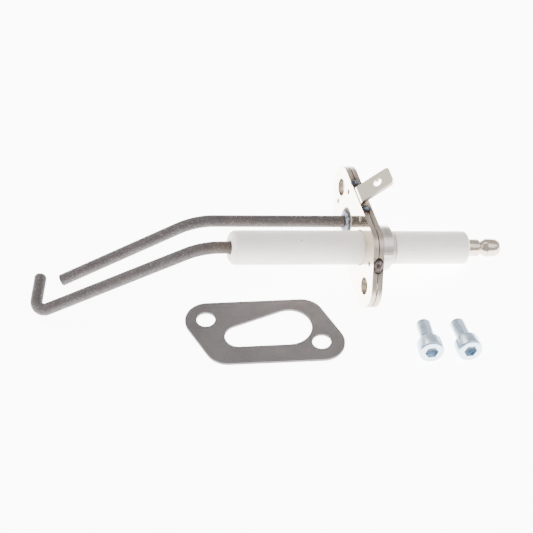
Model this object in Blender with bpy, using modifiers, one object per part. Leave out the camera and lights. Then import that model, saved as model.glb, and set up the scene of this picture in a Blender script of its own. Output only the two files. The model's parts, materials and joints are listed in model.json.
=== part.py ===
"""Ignition electrode for a gas burner, laid out on a table with its gasket and its two screws.

Metres, +Z up. The electrode is modelled in its own axes: +X runs along the insulator towards
the terminal, +Y points from the insulator to the far bolt hole, and the flange's front face
is the plane X = 0. An empty then lays it down on the table.
"""

import bmesh
import bpy
from math import acos, asin, atan2, cos, hypot, pi, radians, sin, tan
from mathutils import Matrix, Vector

MM = 0.001
GAP = 0.3 * MM
OVERSHOOT = 2.0 * MM

# Flange: two ends around the bolt holes, and an upper and a lower corner between them,
# whose centres lie so far along the line of holes and so far aside of it
HOLE_SPACING = 39.8 * MM
FLANGE_END_RADIUS = 7.2 * MM
UPPER_CORNER = (30.3 * MM, 8.6 * MM)
UPPER_CORNER_RADIUS = 7.0 * MM
LOWER_CORNER = (9.5 * MM, -7.4 * MM)
LOWER_CORNER_RADIUS = 6.4 * MM
PLATE_THICKNESS = 1.75 * MM
BOLT_HOLE_RADIUS = 3.0 * MM

# Where the insulator and the earth rod cross the flange, from the far bolt hole
INSULATOR_ALONG = 26.8 * MM
INSULATOR_ASIDE = 3.5 * MM
EARTH_ROD_ALONG = 12.4 * MM
EARTH_ROD_ASIDE = -2.5 * MM

# Insulator
FRONT_LENGTH = 45.9 * MM
REAR_LENGTH = 38.1 * MM
FRONT_RADIUS = 5.75 * MM
REAR_RADIUS = 5.6 * MM
FRONT_ROUNDING = 2.0 * MM
REAR_ROUNDING = 0.9 * MM

# Rods
IGNITION_ROD_RADIUS = 2.1 * MM
EARTH_ROD_RADIUS = 2.0 * MM
CORE_PIN_RADIUS = 1.5 * MM
ROD_DEPTH_IN_INSULATOR = 25.0 * MM
IGNITION_BEND_AT = 9.5 * MM
IGNITION_BEND = radians(38.4)
IGNITION_TURN = radians(2.4)
IGNITION_REACH = 62.4 * MM
EARTH_BEND_AT = 53.8 * MM
EARTH_BEND = radians(39.7)
EARTH_TURN = radians(5.0)
EARTH_REACH = 51.1 * MM
BEND_RADIUS = 18.0 * MM
HOOK_LENGTH = 14.6 * MM
HOOK_ANGLE = radians(71.5)
HOOK_BEND_RADIUS = 3.6 * MM
HOOK_TIP_ROUNDING = 1.6 * MM
EARTH_ROD_SHORT_OF_REAR = 0.4 * MM

# Collar and packing
COLLAR_WALL = 0.7 * MM
COLLAR_RADIUS = 7.7 * MM
COLLAR_END = 10.9 * MM
COLLAR_FLANGE_WIDTH = 1.2 * MM
COLLAR_FLANGE_THICKNESS = 0.5 * MM
CRIMP_DEPTH = 0.3 * MM
CRIMP_LENGTH = 0.5 * MM
CRIMP_SHOULDER = 1.1 * MM
CRIMP_EDGE = 0.2 * MM
COLLAR_SETBACK = 0.15 * MM
GROOVE_CLEARANCE = 0.3 * MM
PACKING_LENGTH = 2.4 * MM
PACKING_DEPTH = 1.0 * MM
PACKING_FROM_FLANGE = 0.8 * MM

# Cement that holds the rod and the core pin in the insulator
FRONT_LIP = 3.0 * MM
FRONT_CEMENT_THICKNESS = 0.9 * MM
FRONT_CEMENT_LENGTH = 8.0 * MM
REAR_CEMENT_THICKNESS = 0.9 * MM
REAR_CEMENT_LENGTH = 2.6 * MM

# Snap terminal
TERMINAL_LENGTH = 12.6 * MM
TERMINAL_BASE_LENGTH = 4.1 * MM
TERMINAL_BASE_RADIUS = 3.0 * MM
TERMINAL_NECK_LENGTH = 2.4 * MM
TERMINAL_NECK_RADIUS = 2.35 * MM
TERMINAL_HEAD_RADIUS = 3.1 * MM
TERMINAL_CHAMFER = 0.25 * MM
TERMINAL_CLOSED_END = 3.4 * MM
# The head's rounded end: shares of its radius, and how far each lies from the tip
TERMINAL_CROWN = [(0.45, 0.1 * MM), (0.75, 0.55 * MM), (0.93, 1.4 * MM), (1.0, 2.6 * MM)]

# Earth tab, bent from the front plate
TAB_WIDTH = 7.6 * MM
TAB_LENGTH = 12.8 * MM
TAB_THICKNESS = 1.1 * MM
TAB_ALONG = 13.4 * MM
TAB_BEND = radians(45.0)
TAB_BEND_RADIUS = 1.4 * MM
TAB_HOLE_RADIUS = 1.5 * MM
TAB_HOLE_FROM_TIP = 5.4 * MM
TAB_CORNER = 1.3 * MM
TAB_ROOT_IN_PLATE = 2.5 * MM
TAB_BEND_FROM_EDGE = 0.8 * MM

# Welds
ROD_WELD_WIDTH = 1.3 * MM
ROD_WELD_HEIGHT = 1.1 * MM
EDGE_WELD_PROUD = 0.5 * MM
EDGE_WELD_SHARE = 0.84
# Each edge weld: its edge, how far along that edge it is, its length, how far behind the
# front face its middle is
EDGE_WELDS = {
    "edge_weld_far": ("top", 6.4 * MM, 3.6 * MM, 1.6 * MM),
    "edge_weld_middle": ("top", 19.6 * MM, 3.4 * MM, 1.8 * MM),
    "edge_weld_near": ("side", 5.0 * MM, 5.0 * MM, 1.9 * MM),
}

# Gasket
GASKET_THICKNESS = 1.0 * MM
GASKET_END_RADIUS = 7.4 * MM
GASKET_CORNER = (30.3 * MM, 8.6 * MM)
GASKET_CORNER_RADIUS = 8.0 * MM
GASKET_HOLE_RADIUS = 3.15 * MM
GASKET_OUTLINE_SHIFT = (0.45 * MM, -0.2 * MM)
GASKET_WIDE_RADIUS = 7.6 * MM
GASKET_NARROW_RADIUS = 4.6 * MM
GASKET_OPENING_SHIFT = (1.05 * MM, 0.05 * MM)
GASKET_NARROW_DROP = 1.9 * MM

# Cap screws
SCREW_RADIUS = 2.45 * MM
SCREW_LENGTH = 10.0 * MM
SCREW_HEAD_RADIUS = 4.25 * MM
SCREW_HEAD_HEIGHT = 5.0 * MM
SCREW_TIP_CHAMFER = 0.4 * MM
SCREW_HEAD_CHAMFER = 0.4 * MM
SOCKET_ACROSS_FLATS = 4.0 * MM
SOCKET_DEPTH = 2.6 * MM

# The layout on the table
ELECTRODE_ROLL = radians(10.3)
ELECTRODE_PITCH = radians(14.1)
ELECTRODE_YAW = radians(12.8)
ELECTRODE_PLACE = (31.3 * MM, -4.5 * MM)
GASKET_PLACE = (-20.3 * MM, -24.2 * MM)
GASKET_YAW = radians(-13.8)
SCREW_PLACES = {
    "screw_left": (54.4 * MM, -42.0 * MM, radians(98.4)),
    "screw_right": (67.2 * MM, -41.4 * MM, radians(104.4)),
}

# Derived places
REAR_PLATE_FRONT = PLATE_THICKNESS + GAP
FLANGE_THICKNESS = REAR_PLATE_FRONT + PLATE_THICKNESS
COLLAR_OUTER = COLLAR_RADIUS
COLLAR_INNER = COLLAR_OUTER - COLLAR_WALL
COLLAR_FRONT = REAR_PLATE_FRONT + COLLAR_SETBACK
PACKING_RADIUS = REAR_RADIUS - PACKING_DEPTH
PACKING_FRONT = FLANGE_THICKNESS + PACKING_FROM_FLANGE
CRIMP_RADIUS = REAR_RADIUS - CRIMP_DEPTH
FRONT_BORE = IGNITION_ROD_RADIUS + GAP
REAR_BORE = CORE_PIN_RADIUS + GAP
FRONT_CEMENT_OUTER = FRONT_BORE + FRONT_CEMENT_THICKNESS
REAR_CEMENT_OUTER = REAR_BORE + REAR_CEMENT_THICKNESS
TERMINAL_FRONT = REAR_LENGTH + GAP


# ---------------------------------------------------------------- scene and helpers


def clear_scene():
    for old in list(bpy.data.objects):
        bpy.data.objects.remove(old, do_unlink=True)


def collection(name):
    made = bpy.data.collections.new(name)
    bpy.context.scene.collection.children.link(made)
    return made


clear_scene()
PARTS = collection("ignition_electrode")
CUTTERS = collection("cutters")


def material(name, colour, roughness, metallic):
    made = bpy.data.materials.new(name)
    made.use_nodes = True
    shader = made.node_tree.nodes["Principled BSDF"]
    shader.inputs["Base Color"].default_value = (*colour, 1.0)
    shader.inputs["Roughness"].default_value = roughness
    shader.inputs["Metallic"].default_value = metallic
    return made


def empty(name, parent=None):
    made = bpy.data.objects.new(name, None)
    made.empty_display_size = 5 * MM
    PARTS.objects.link(made)
    made.parent = parent
    return made


def add_object(name, data, parent, where=None):
    made = bpy.data.objects.new(name, data)
    (where or PARTS).objects.link(made)
    made.parent = parent
    return made


def make_cutter(cutter):
    cutter.hide_render = True
    cutter.display_type = "WIRE"
    return cutter


def cut(piece, cutter, operation="DIFFERENCE"):
    boolean = piece.modifiers.new(cutter.name, "BOOLEAN")
    boolean.operation = operation
    boolean.solver = "EXACT"
    boolean.object = make_cutter(cutter)


def smooth(mesh, angle=40):
    mesh.shade_smooth()
    mesh.set_sharp_from_angle(angle=radians(angle))


def turned(name, profile, parent, steps=40, where=None, closed=True):
    """A solid of revolution about its local Z, from (radius, height) points that run down
    the outer side from top to bottom."""
    mesh = bpy.data.meshes.new(name)
    shape = bmesh.new()
    verts = [shape.verts.new((radius, 0, height)) for radius, height in profile]
    for first, second in zip(verts, verts[1:]):
        shape.edges.new((first, second))
    if closed:
        shape.edges.new((verts[-1], verts[0]))
    shape.to_mesh(mesh)
    shape.free()
    made = add_object(name, mesh, parent, where)
    screw = made.modifiers.new("turn", "SCREW")
    screw.axis = "Z"
    screw.steps = steps
    screw.render_steps = steps
    screw.use_merge_vertices = True
    screw.merge_threshold = 0.00001
    screw.use_smooth_shade = True
    return made


def along_x(piece):
    """Turns a piece's local Z onto its parent's X."""
    piece.rotation_euler = (0, pi / 2, 0)
    return piece


def arc(centre, radius, start, end, steps):
    """Points on an arc in a plane, from the start angle to the end angle."""
    angles = [start + (end - start) * i / steps for i in range(steps + 1)]
    return [(centre[0] + radius * cos(a), centre[1] + radius * sin(a)) for a in angles]


def around_circles(circles, steps=10):
    """The outline of a belt pulled tight around circles, listed counter-clockwise."""
    spans = []
    for (x0, y0, r0), (x1, y1, r1) in zip(circles, circles[1:] + circles[:1]):
        heading = atan2(y1 - y0, x1 - x0)
        spans.append(heading - acos((r0 - r1) / hypot(x1 - x0, y1 - y0)))
    outline = []
    for index, (x, y, radius) in enumerate(circles):
        start = spans[index - 1]
        end = spans[index]
        while end < start:
            end += 2 * pi
        outline += arc((x, y), radius, start, end, steps)
    return outline


def circle(centre, radius, steps=32):
    return arc(centre, radius, 0, 2 * pi, steps)[:-1]


def flat_solid(name, outlines, thickness, parent, where=None):
    """A sheet with holes, from 2D outlines in its local XY plane."""
    curve = bpy.data.curves.new(name, "CURVE")
    curve.dimensions = "2D"
    curve.fill_mode = "BOTH"
    curve.extrude = thickness / 2
    for outline in outlines:
        spline = curve.splines.new("POLY")
        spline.points.add(len(outline) - 1)
        for point, (x, y) in zip(spline.points, outline):
            point.co = (x, y, 0, 1)
        spline.use_cyclic_u = True
    return add_object(name, curve, parent, where)


def as_mesh(piece):
    """Makes a curve object a closed mesh object, in place."""
    bpy.context.view_layer.update()
    evaluated = piece.evaluated_get(bpy.context.evaluated_depsgraph_get())
    mesh = bpy.data.meshes.new_from_object(evaluated)
    shape = bmesh.new()
    shape.from_mesh(mesh)
    bmesh.ops.remove_doubles(shape, verts=shape.verts, dist=0.000001)
    shape.to_mesh(mesh)
    shape.free()
    name = piece.name
    home = piece.users_collection[0]
    parent = piece.parent
    basis = piece.matrix_basis.copy()
    bpy.data.objects.remove(piece, do_unlink=True)
    made = add_object(name, mesh, parent, home)
    made.matrix_basis = basis
    return made


def rounded_path(corners, radii, steps=8):
    """A path through corner points with each inner corner rounded to its own radius."""
    points = [Vector(corners[0])]
    for before, corner, after, radius in zip(corners, corners[1:], corners[2:], radii):
        corner = Vector(corner)
        back = (Vector(before) - corner).normalized()
        ahead = (Vector(after) - corner).normalized()
        half = back.angle(ahead) / 2
        centre = corner + (back + ahead).normalized() * (radius / sin(half))
        start = corner + back * (radius / tan(half)) - centre
        normal = back.cross(ahead).normalized()
        turn = pi - 2 * half
        for i in range(steps + 1):
            points.append(centre + Matrix.Rotation(-turn * i / steps, 3, normal) @ start)
    points.append(Vector(corners[-1]))
    return points


def rod(name, path, radius, parent, tip_rounding=0.0):
    """A round rod along a path, with a square end or a domed one."""
    curve = bpy.data.curves.new(name, "CURVE")
    curve.dimensions = "3D"
    curve.bevel_depth = radius
    curve.bevel_resolution = 3
    curve.use_fill_caps = True
    shares = [1.0] * len(path)
    if tip_rounding:
        tip = path[-1]
        ahead = (tip - path[-2]).normalized()
        path = path[:-1]
        shares = shares[:-1]
        for i in range(5):
            angle = radians(18 * i)
            path.append(tip - ahead * tip_rounding * (1 - sin(angle)))
            shares.append(1 - (tip_rounding / radius) * (1 - cos(angle)))
    spline = curve.splines.new("POLY")
    spline.points.add(len(path) - 1)
    for point, place, share in zip(spline.points, path, shares):
        point.co = (*place, 1)
        point.radius = share
    return add_object(name, curve, parent)


# ---------------------------------------------------------------- outlines of the flange


def flange_circles():
    """The flange's rounded corners, in gasket axes: X towards the near hole, Y aside."""
    return [
        (0, 0, FLANGE_END_RADIUS),
        (*LOWER_CORNER, LOWER_CORNER_RADIUS),
        (HOLE_SPACING, 0, FLANGE_END_RADIUS),
        (*UPPER_CORNER, UPPER_CORNER_RADIUS),
    ]


def gasket_circles():
    """The gasket's rounded corners, the same turned half round."""
    along, aside = GASKET_CORNER
    right, up = GASKET_OUTLINE_SHIFT
    return [
        (right, up, GASKET_END_RADIUS),
        (HOLE_SPACING - along + right, up - aside, GASKET_CORNER_RADIUS),
        (HOLE_SPACING + right, up, GASKET_END_RADIUS),
        (along + right, aside + up, GASKET_CORNER_RADIUS),
    ]


def to_flange(point):
    """Gasket axes to the flange's own Y and Z."""
    return (INSULATOR_ALONG - point[0], point[1] - INSULATOR_ASIDE)


def flange_outline():
    return [to_flange(point) for point in around_circles(flange_circles())][::-1]


def edge_frame(edge, along):
    """A point on a straight outer edge of the flange, the edge's direction and its outward
    normal, in the flange's own Y and Z. The far edge runs from the far hole's end to the
    upper corner, and the side edge from that corner to the near hole's end."""
    far, _, near, corner = flange_circles()
    first, second = (far, corner) if edge == "top" else (corner, near)
    heading = atan2(second[1] - first[1], second[0] - first[0])
    distance = hypot(second[0] - first[0], second[1] - first[1])
    lean = asin((second[2] - first[2]) / distance)
    normal = heading + pi / 2 + lean
    direction = normal - pi / 2
    start = (first[0] + first[2] * cos(normal), first[1] + first[2] * sin(normal))
    point = (start[0] + along * cos(direction), start[1] + along * sin(direction))
    y, z = to_flange(point)
    outward = Vector((0, -cos(normal), sin(normal)))
    heading_vector = Vector((0, -cos(direction), sin(direction)))
    return Vector((0, y, z)), heading_vector, outward


def onto_flange(piece, middle):
    """Stands a sheet made in its XY plane in the flange's plane, centred at X = middle."""
    axes = Matrix(((0, 0, 1), (1, 0, 0), (0, 1, 0)))
    piece.matrix_basis = Matrix.Translation((middle, 0, 0)) @ axes.to_4x4()
    return piece


BOLT_HOLES = [to_flange((0, 0)), to_flange((HOLE_SPACING, 0))]
EARTH_ROD_PLACE = to_flange((EARTH_ROD_ALONG, EARTH_ROD_ASIDE))
EARTH_HOLE_RADIUS = EARTH_ROD_RADIUS + GAP


# ---------------------------------------------------------------- insulator and what it holds


def build_insulator(electrode):
    front = -FRONT_LENGTH
    rear = REAR_LENGTH
    groove_end = COLLAR_END + GROOVE_CLEARANCE
    groove_start = COLLAR_END - CRIMP_LENGTH - 4 * GROOVE_CLEARANCE
    groove = CRIMP_RADIUS - GAP
    packing_end = PACKING_FRONT + PACKING_LENGTH + 2 * GAP
    quarter = [radians(22.5 * i) for i in range(5)]
    rear_edge = [
        (REAR_RADIUS - REAR_ROUNDING * (1 - sin(a)), rear - REAR_ROUNDING * (1 - cos(a)))
        for a in quarter
    ]
    front_edge = [
        (FRONT_RADIUS - FRONT_ROUNDING * (1 - cos(a)), front + FRONT_ROUNDING * (1 - sin(a)))
        for a in quarter
    ]
    profile = rear_edge + [
        (REAR_RADIUS, groove_end + GROOVE_CLEARANCE),
        (groove, groove_end),
        (groove, groove_start + GROOVE_CLEARANCE),
        (REAR_RADIUS, groove_start),
        (REAR_RADIUS, packing_end),
        (PACKING_RADIUS, packing_end),
        (PACKING_RADIUS, PACKING_FRONT),
        (REAR_RADIUS, PACKING_FRONT),
        (REAR_RADIUS, COLLAR_FRONT),
        (FRONT_RADIUS, COLLAR_FRONT - GAP),
    ] + front_edge + [
        (FRONT_BORE, front),
        (FRONT_BORE, front + FRONT_LIP),
        (FRONT_CEMENT_OUTER + GAP, front + FRONT_LIP),
        (FRONT_CEMENT_OUTER + GAP, front + ROD_DEPTH_IN_INSULATOR + GAP),
        (REAR_BORE, front + ROD_DEPTH_IN_INSULATOR + GAP),
        (REAR_BORE, rear - REAR_CEMENT_LENGTH - GAP),
        (REAR_CEMENT_OUTER + GAP, rear - REAR_CEMENT_LENGTH - GAP),
        (REAR_CEMENT_OUTER + GAP, rear),
    ]
    return along_x(turned("insulator", profile, electrode))


def build_cement(electrode, name, start, length, inner, outer):
    profile = [
        (outer, start + length),
        (outer, start),
        (inner, start),
        (inner, start + length),
    ]
    return along_x(turned(name, profile, electrode, steps=32))


def build_core_pin(electrode):
    front = -FRONT_LENGTH + ROD_DEPTH_IN_INSULATOR + GAP
    rear = TERMINAL_FRONT + TERMINAL_LENGTH - TERMINAL_CLOSED_END - GAP
    profile = [(0, rear), (CORE_PIN_RADIUS, rear), (CORE_PIN_RADIUS, front), (0, front)]
    return along_x(turned("core_pin", profile, electrode, steps=24, closed=False))


def build_terminal(electrode):
    front = TERMINAL_FRONT
    base = front + TERMINAL_BASE_LENGTH
    neck = base + TERMINAL_NECK_LENGTH
    tip = front + TERMINAL_LENGTH
    head = TERMINAL_HEAD_RADIUS
    chamfer = TERMINAL_CHAMFER
    crown = [(share * head, tip - back) for share, back in TERMINAL_CROWN]
    profile = [(0, tip)] + crown + [
        (head, neck + chamfer),
        (head - chamfer, neck),
        (TERMINAL_NECK_RADIUS, neck),
        (TERMINAL_NECK_RADIUS, base),
        (TERMINAL_BASE_RADIUS - chamfer, base),
        (TERMINAL_BASE_RADIUS, base - chamfer),
        (TERMINAL_BASE_RADIUS, front + chamfer),
        (TERMINAL_BASE_RADIUS - chamfer, front),
        (REAR_BORE, front),
        (REAR_BORE, tip - TERMINAL_CLOSED_END),
        (0, tip - TERMINAL_CLOSED_END),
    ]
    return along_x(turned("terminal", profile, electrode, steps=36, closed=False))


def build_collar(electrode):
    lip = COLLAR_END
    crimp = lip - CRIMP_LENGTH
    shoulder = crimp - CRIMP_SHOULDER
    flange_back = COLLAR_FRONT + COLLAR_FLANGE_THICKNESS
    flange_radius = COLLAR_OUTER + COLLAR_FLANGE_WIDTH
    profile = [
        (CRIMP_RADIUS, lip),
        (CRIMP_RADIUS + COLLAR_WALL - CRIMP_EDGE, lip),
        (CRIMP_RADIUS + COLLAR_WALL, lip - CRIMP_EDGE),
        (CRIMP_RADIUS + COLLAR_WALL, crimp),
        (COLLAR_OUTER, shoulder),
        (COLLAR_OUTER, flange_back),
        (flange_radius, flange_back),
        (flange_radius, COLLAR_FRONT),
        (COLLAR_INNER, COLLAR_FRONT),
        (COLLAR_INNER, shoulder - 2 * CRIMP_EDGE),
        (CRIMP_RADIUS, crimp - 2 * CRIMP_EDGE),
    ]
    return along_x(turned("collar", profile, electrode, steps=48))


def build_packing_ring(electrode):
    start = PACKING_FRONT + GAP
    profile = [
        (COLLAR_INNER - GAP, start + PACKING_LENGTH),
        (COLLAR_INNER - GAP, start),
        (PACKING_RADIUS + GAP, start),
        (PACKING_RADIUS + GAP, start + PACKING_LENGTH),
    ]
    return along_x(turned("packing_ring", profile, electrode, steps=32))


# ---------------------------------------------------------------- rods


def falling(bend, turn):
    """The direction of a rod after its bend downwards, turned a little aside."""
    return Vector((-cos(bend), -sin(bend) * sin(turn), -sin(bend) * cos(turn)))


def build_ignition_rod(electrode):
    bend = Vector((-FRONT_LENGTH - IGNITION_BEND_AT, 0, 0))
    fall = falling(IGNITION_BEND, IGNITION_TURN)
    corner = bend + fall * IGNITION_REACH
    hook = Vector((0, sin(HOOK_ANGLE), 0)) - fall * cos(HOOK_ANGLE)
    start = Vector((-FRONT_LENGTH + ROD_DEPTH_IN_INSULATOR, 0, 0))
    corners = [start, bend, corner, corner + hook * HOOK_LENGTH]
    path = rounded_path(corners, [BEND_RADIUS, HOOK_BEND_RADIUS], steps=9)
    return rod("ignition_rod", path, IGNITION_ROD_RADIUS, electrode, tip_rounding=HOOK_TIP_ROUNDING)


def build_earth_rod(electrode):
    y, z = EARTH_ROD_PLACE
    start = Vector((FLANGE_THICKNESS - EARTH_ROD_SHORT_OF_REAR, y, z))
    bend = Vector((-EARTH_BEND_AT, y, z))
    fall = falling(EARTH_BEND, EARTH_TURN)
    path = rounded_path([start, bend, bend + fall * EARTH_REACH], [BEND_RADIUS], steps=9)
    return rod("earth_rod", path, EARTH_ROD_RADIUS, electrode)


def build_earth_rod_weld(electrode):
    """The fillet weld around the earth rod, on the front plate."""
    inner = EARTH_HOLE_RADIUS
    back = -GAP
    fillet = [
        (inner + ROD_WELD_WIDTH * sin(a), back - ROD_WELD_HEIGHT * cos(a))
        for a in [radians(15 * i) for i in range(6, -1, -1)]
    ]
    weld = along_x(turned("earth_rod_weld", fillet + [(inner, back)], electrode, steps=32))
    weld.location = (0, *EARTH_ROD_PLACE)
    return weld


# ---------------------------------------------------------------- flange


def edge_weld_shape(name, place, grow, parent, where=None):
    """A flat bead that joins the two plates at their outer edge."""
    edge, along, length, behind = place
    point, direction, outward = edge_frame(edge, along)
    mesh = bpy.data.meshes.new(name)
    shape = bmesh.new()
    bmesh.ops.create_uvsphere(shape, u_segments=16, v_segments=10, radius=1.0)
    size = Vector((FLANGE_THICKNESS * EDGE_WELD_SHARE / 2, length / 2, EDGE_WELD_PROUD))
    size += Vector((grow, grow, grow))
    bmesh.ops.scale(shape, vec=size, verts=shape.verts)
    shape.to_mesh(mesh)
    shape.free()
    smooth(mesh)
    bead = add_object(name, mesh, parent, where)
    axes = Matrix((Vector((1, 0, 0)), direction, outward)).transposed()
    if axes.determinant() < 0:
        axes = Matrix((Vector((1, 0, 0)), -direction, outward)).transposed()
    middle = point + Vector((behind, 0, 0))
    bead.matrix_basis = Matrix.Translation(middle) @ axes.to_4x4()
    return bead


def build_edge_welds(electrode):
    for name, place in EDGE_WELDS.items():
        edge_weld_shape(name, place, 0, electrode)


def cut_weld_seats(plate, electrode):
    for name, place in EDGE_WELDS.items():
        seat_name = f"{plate.name}_seat_{name}"
        cut(plate, edge_weld_shape(seat_name, place, GAP, electrode, CUTTERS))


def build_tab(electrode):
    """A strip that leaves the plate's edge outward and bends towards the rear."""
    point, direction, outward = edge_frame("top", TAB_ALONG)
    rearward = Vector((1, 0, 0))
    middle = point + rearward * (PLATE_THICKNESS / 2)
    ahead = outward * cos(TAB_BEND) + rearward * sin(TAB_BEND)
    bend = middle + outward * TAB_BEND_FROM_EDGE
    corners = [middle - outward * TAB_ROOT_IN_PLATE, bend, bend + ahead * TAB_LENGTH]
    path = rounded_path(corners, [TAB_BEND_RADIUS], steps=5)
    mesh = bpy.data.meshes.new("tab")
    shape = bmesh.new()
    half = direction * (TAB_WIDTH / 2)
    row = [shape.verts.new(path[0] - half), shape.verts.new(path[0] + half)]
    edge = shape.edges.new(row)
    for place, last in zip(path[1:], path):
        grown = bmesh.ops.extrude_edge_only(shape, edges=[edge])["geom"]
        moved = [item for item in grown if isinstance(item, bmesh.types.BMVert)]
        bmesh.ops.translate(shape, verts=moved, vec=place - last)
        edge = [item for item in grown if isinstance(item, bmesh.types.BMEdge)
                and all(vert in moved for vert in item.verts)][0]
    bmesh.ops.bevel(shape, geom=list(edge.verts), offset=TAB_CORNER, affect="VERTICES",
                    segments=4, profile=0.5)
    bmesh.ops.recalc_face_normals(shape, faces=shape.faces)
    shape.to_mesh(mesh)
    shape.free()
    tab = add_object("tab", mesh, electrode, CUTTERS)
    solidify = tab.modifiers.new("thickness", "SOLIDIFY")
    solidify.thickness = TAB_THICKNESS
    solidify.offset = 0
    hole = rod_cutter("tab_hole", TAB_HOLE_RADIUS, TAB_THICKNESS * 4, electrode)
    place = path[-1] - ahead * TAB_HOLE_FROM_TIP
    normal = ahead.cross(direction).normalized()
    turn = normal.to_track_quat("Z", "Y").to_matrix().to_4x4()
    hole.matrix_basis = Matrix.Translation(place) @ turn
    cut(tab, hole)
    return tab


def rod_cutter(name, radius, length, parent, segments=32):
    mesh = bpy.data.meshes.new(name)
    shape = bmesh.new()
    bmesh.ops.create_cone(shape, cap_ends=True, segments=segments, radius1=radius,
                          radius2=radius, depth=length)
    shape.to_mesh(mesh)
    shape.free()
    return add_object(name, mesh, parent, CUTTERS)


def build_front_plate(electrode):
    outlines = [flange_outline(), circle((0, 0), FRONT_RADIUS + GAP, 48)]
    outlines += [circle(hole, BOLT_HOLE_RADIUS) for hole in BOLT_HOLES]
    outlines.append(circle(EARTH_ROD_PLACE, EARTH_HOLE_RADIUS, 24))
    sheet = flat_solid("front_plate", outlines, PLATE_THICKNESS, electrode)
    plate = as_mesh(onto_flange(sheet, PLATE_THICKNESS / 2))
    cut(plate, build_tab(electrode), "UNION")
    cut_weld_seats(plate, electrode)
    return plate


def build_rear_plate(electrode):
    outlines = [flange_outline(), circle((0, 0), COLLAR_OUTER + GAP, 48)]
    outlines += [circle(hole, BOLT_HOLE_RADIUS) for hole in BOLT_HOLES]
    outlines.append(circle(EARTH_ROD_PLACE, EARTH_HOLE_RADIUS, 24))
    sheet = flat_solid("rear_plate", outlines, PLATE_THICKNESS, electrode)
    plate = as_mesh(onto_flange(sheet, REAR_PLATE_FRONT + PLATE_THICKNESS / 2))
    recess_radius = COLLAR_OUTER + COLLAR_FLANGE_WIDTH + GAP
    recess_end = COLLAR_FRONT + COLLAR_FLANGE_THICKNESS + GAP
    recess_start = REAR_PLATE_FRONT - OVERSHOOT
    recess = along_x(rod_cutter("collar_recess", recess_radius, recess_end - recess_start,
                                electrode, 48))
    recess.location.x = (recess_start + recess_end) / 2
    cut(plate, recess)
    cut_weld_seats(plate, electrode)
    return plate


# ---------------------------------------------------------------- gasket and screws


def build_gasket(kit):
    along, aside = GASKET_OPENING_SHIFT
    narrow = (EARTH_ROD_ALONG, EARTH_ROD_ASIDE + aside - GASKET_NARROW_DROP, GASKET_NARROW_RADIUS)
    wide = (INSULATOR_ALONG + along, INSULATOR_ASIDE + aside, GASKET_WIDE_RADIUS)
    outlines = [
        around_circles(gasket_circles()),
        around_circles([narrow, wide], steps=16),
        circle((0, 0), GASKET_HOLE_RADIUS),
        circle((HOLE_SPACING, 0), GASKET_HOLE_RADIUS),
    ]
    gasket = flat_solid("gasket", outlines, GASKET_THICKNESS, kit)
    gasket.location = (*GASKET_PLACE, GASKET_THICKNESS / 2)
    gasket.rotation_euler.z = GASKET_YAW
    return gasket


def build_screw(kit, name, place):
    """A cap screw on its side: its head's rim and its shank's end both touch the table."""
    tip_radius = SCREW_RADIUS - SCREW_TIP_CHAMFER
    head = SCREW_HEAD_HEIGHT
    profile = [
        (0, head),
        (SCREW_HEAD_RADIUS - SCREW_HEAD_CHAMFER, head),
        (SCREW_HEAD_RADIUS, head - SCREW_HEAD_CHAMFER),
        (SCREW_HEAD_RADIUS, 0),
        (SCREW_RADIUS, 0),
        (SCREW_RADIUS, -SCREW_LENGTH + SCREW_TIP_CHAMFER),
        (tip_radius, -SCREW_LENGTH),
        (0, -SCREW_LENGTH),
    ]
    screw = turned(name, profile, kit, steps=36, closed=False)
    socket_radius = SOCKET_ACROSS_FLATS / 2 / cos(pi / 6)
    socket = rod_cutter(f"{name}_socket", socket_radius, SOCKET_DEPTH * 2, screw, 6)
    socket.location.z = head
    cut(screw, socket)
    x, y, heading = place
    tilt = atan2(SCREW_HEAD_RADIUS - SCREW_RADIUS, SCREW_LENGTH - SCREW_TIP_CHAMFER)
    axis = Vector((-cos(heading) * cos(tilt), -sin(heading) * cos(tilt), sin(tilt)))
    shoulder = Vector((x, y, SCREW_HEAD_RADIUS * cos(tilt))) - Vector((axis.x, axis.y, 0)) * head
    screw.matrix_basis = (
        Matrix.Translation(shoulder) @ axis.to_track_quat("Z", "Y").to_matrix().to_4x4()
    )
    return screw


# ---------------------------------------------------------------- the whole kit


def low_and_high(objects):
    """The box of the evaluated objects, in world space."""
    bpy.context.view_layer.update()
    graph = bpy.context.evaluated_depsgraph_get()
    points = []
    for piece in objects:
        evaluated = piece.evaluated_get(graph)
        mesh = evaluated.to_mesh()
        points += [evaluated.matrix_world @ vert.co for vert in mesh.vertices]
        evaluated.to_mesh_clear()
    low = Vector([min(point[i] for point in points) for i in range(3)])
    high = Vector([max(point[i] for point in points) for i in range(3)])
    return low, high


def solids(parent=None):
    return [piece for piece in PARTS.objects if piece.type != "EMPTY"
            and (parent is None or piece.parent == parent)]


MATERIALS = {
    "alumina": ((0.74, 0.71, 0.68), 0.55, 0.0, ["insulator"]),
    "cement": ((0.5, 0.46, 0.4), 0.9, 0.0, ["front_cement", "rear_cement"]),
    "rod_alloy": ((0.14, 0.12, 0.105), 0.5, 0.85, ["ignition_rod", "earth_rod"]),
    "steel_pin": ((0.5, 0.5, 0.5), 0.35, 1.0, ["core_pin"]),
    "nickel": ((0.6, 0.57, 0.53), 0.3, 1.0, ["terminal"]),
    "stainless": ((0.62, 0.59, 0.55), 0.25, 1.0, ["front_plate", "rear_plate", "collar"]),
    "weld": ((0.16, 0.17, 0.2), 0.4, 0.9, ["earth_rod_weld", *EDGE_WELDS]),
    "graphite": ((0.05, 0.05, 0.055), 0.7, 0.0, ["packing_ring"]),
    "gasket_sheet": ((0.28, 0.27, 0.26), 0.6, 0.3, ["gasket"]),
    "zinc": ((0.6, 0.66, 0.7), 0.3, 1.0, [*SCREW_PLACES]),
}


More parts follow.
